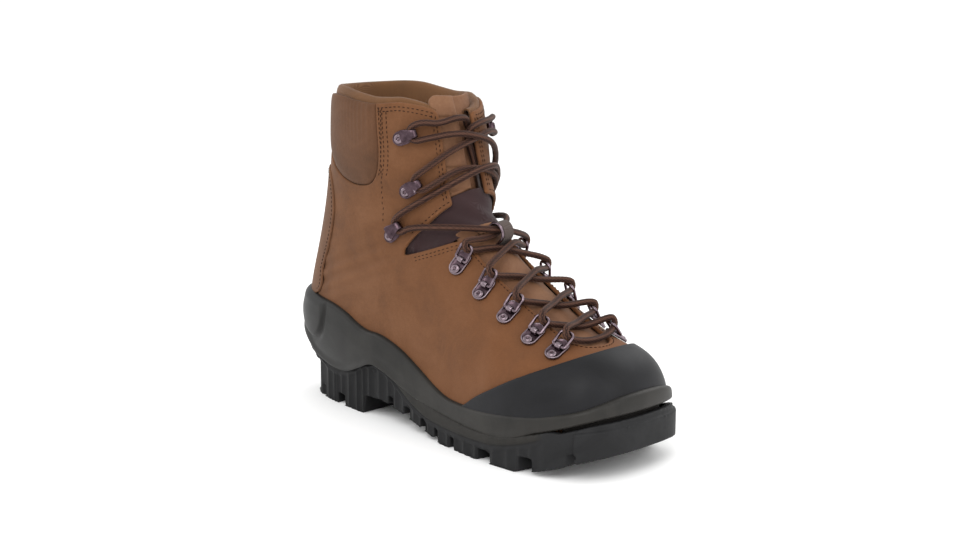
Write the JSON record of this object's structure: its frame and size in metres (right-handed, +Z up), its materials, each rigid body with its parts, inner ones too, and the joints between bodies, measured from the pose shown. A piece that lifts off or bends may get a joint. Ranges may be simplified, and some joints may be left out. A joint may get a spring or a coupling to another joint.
{
  "type": "mountaineering boot",
  "caption": "Ankle-high laced leather mountaineering boot with rubber rand and midsole band, stiff lugged sole, hinged lacing rings, speed hooks and padded collar; the ankle flexes.",
  "frame": {"origin": "on the ground under the middle of the boot's box", "axes": "+X forward to the toe, +Y to the medial (inner) side, +Z up"},
  "size_m": [0.3021, 0.1086, 0.2185],
  "materials": {
    "sole_rubber": "moulded, matt, lightly grained",
    "band_rubber": "moulded, satin",
    "rand_rubber": "fine pebbled, satin",
    "nubuck": "waxed nubuck, matt",
    "collar_leather": "soft embossed leather",
    "tongue_leather": "soft leather",
    "gusset_fabric": "dark woven fabric",
    "lining_fabric": "knitted lining",
    "stiffener": "moulded board",
    "footbed_foam": "felt on foam",
    "spring_steel": "spring steel",
    "gunmetal": "gunmetal plated",
    "rivet_metal": "gunmetal plated",
    "ring_wire": "gunmetal plated, bright",
    "keeper_webbing": "woven tape",
    "lace_cord": "round braided cord",
    "aglet_plastic": "shrunk plastic"
  },
  "bodies": {
    "foot": {"outsole": "sole_rubber", "midsole_band": "band_rubber", "toe_rand": "rand_rubber", "upper_foot_leather": "nubuck", "heel_counter": "stiffener", "toe_puff": "stiffener", "insole_board": "stiffener", "footbed": "footbed_foam", "steel_shank": "spring_steel", "lining_foot": "lining_fabric", "tongue_lower": "tongue_leather", "eyelet_plates": "gunmetal", "eyelet_rivets": "rivet_metal", "eyelet_washers": "rivet_metal", "keeper_loop": "keeper_webbing", "keeper_hoop": "ring_wire", "lace": "lace_cord", "quarter_flex_zone": "nubuck", "backstay": "nubuck", "lining_flex_zone": "lining_fabric", "tongue_gusset": "gusset_fabric"},
    "shaft": {"upper_shaft_leather": "nubuck", "rear_collar_panel": "collar_leather", "lining_collar_padded": "lining_fabric", "tongue_upper": "tongue_leather", "lace_hooks": "gunmetal", "hook_rivets": "rivet_metal", "hook_washers": "rivet_metal", "aglets": "aglet_plastic"},
    "ring_inner_1": {"ring_inner_1": "ring_wire"},
    "ring_inner_2": {"ring_inner_2": "ring_wire"},
    "ring_inner_3": {"ring_inner_3": "ring_wire"},
    "ring_inner_4": {"ring_inner_4": "ring_wire"},
    "ring_inner_5": {"ring_inner_5": "ring_wire"},
    "ring_outer_1": {"ring_outer_1": "ring_wire"},
    "ring_outer_2": {"ring_outer_2": "ring_wire"},
    "ring_outer_3": {"ring_outer_3": "ring_wire"},
    "ring_outer_4": {"ring_outer_4": "ring_wire"},
    "ring_outer_5": {"ring_outer_5": "ring_wire"}
  },
  "joints": [
    {"name": "ankle_flex", "type": "hinge", "parent": "foot", "child": "shaft", "pos_m": [-0.0733, 0.00266, 0.1], "axis": [0, 1, 0], "range_deg": [-5, 10], "deforming": ["quarter_flex_zone", "backstay", "lining_flex_zone", "tongue_gusset", "lace"]},
    {"name": "ring_inner_1_pivot", "type": "hinge", "parent": "foot", "child": "ring_inner_1", "pos_m": [0.0198, 0.03076, 0.1126], "axis": [0.9133, -0.1068, -0.393], "range_deg": [-4, 5], "deforming": ["lace"]},
    {"name": "ring_inner_2_pivot", "type": "hinge", "parent": "foot", "child": "ring_inner_2", "pos_m": [0.04205, 0.03065, 0.10046], "axis": [0.9619, -0.0973, -0.2555], "range_deg": [-4, 5], "deforming": ["lace"]},
    {"name": "ring_inner_3_pivot", "type": "hinge", "parent": "foot", "child": "ring_inner_3", "pos_m": [0.06492, 0.03081, 0.09027], "axis": [0.9549, -0.1429, -0.2602], "range_deg": [-4, 5], "deforming": ["lace"]},
    {"name": "ring_inner_4_pivot", "type": "hinge", "parent": "foot", "child": "ring_inner_4", "pos_m": [0.08595, 0.03069, 0.08072], "axis": [0.9367, -0.1653, -0.3086], "range_deg": [-4, 5], "deforming": ["lace"]},
    {"name": "ring_inner_5_pivot", "type": "hinge", "parent": "foot", "child": "ring_inner_5", "pos_m": [0.10383, 0.0292, 0.07421], "axis": [0.9613, -0.121, -0.2477], "range_deg": [-4, 5], "deforming": ["lace"]},
    {"name": "ring_outer_1_pivot", "type": "hinge", "parent": "foot", "child": "ring_outer_1", "pos_m": [0.02135, -0.02612, 0.11655], "axis": [-0.8979, -0.1276, 0.4213], "range_deg": [-4, 5], "deforming": ["lace"]},
    {"name": "ring_outer_2_pivot", "type": "hinge", "parent": "foot", "child": "ring_outer_2", "pos_m": [0.04281, -0.02629, 0.1036], "axis": [-0.9428, -0.1274, 0.3081], "range_deg": [-4, 5], "deforming": ["lace"]},
    {"name": "ring_outer_3_pivot", "type": "hinge", "parent": "foot", "child": "ring_outer_3", "pos_m": [0.06525, -0.02692, 0.09176], "axis": [-0.9317, -0.1604, 0.3258], "range_deg": [-4, 5], "deforming": ["lace"]},
    {"name": "ring_outer_4_pivot", "type": "hinge", "parent": "foot", "child": "ring_outer_4", "pos_m": [0.08608, -0.02672, 0.08143], "axis": [-0.9227, -0.1621, 0.3498], "range_deg": [-4, 5], "deforming": ["lace"]},
    {"name": "ring_outer_5_pivot", "type": "hinge", "parent": "foot", "child": "ring_outer_5", "pos_m": [0.1039, -0.02469, 0.07471], "axis": [-0.9532, -0.1183, 0.2781], "range_deg": [-4, 5], "deforming": ["lace"]}
  ]
}
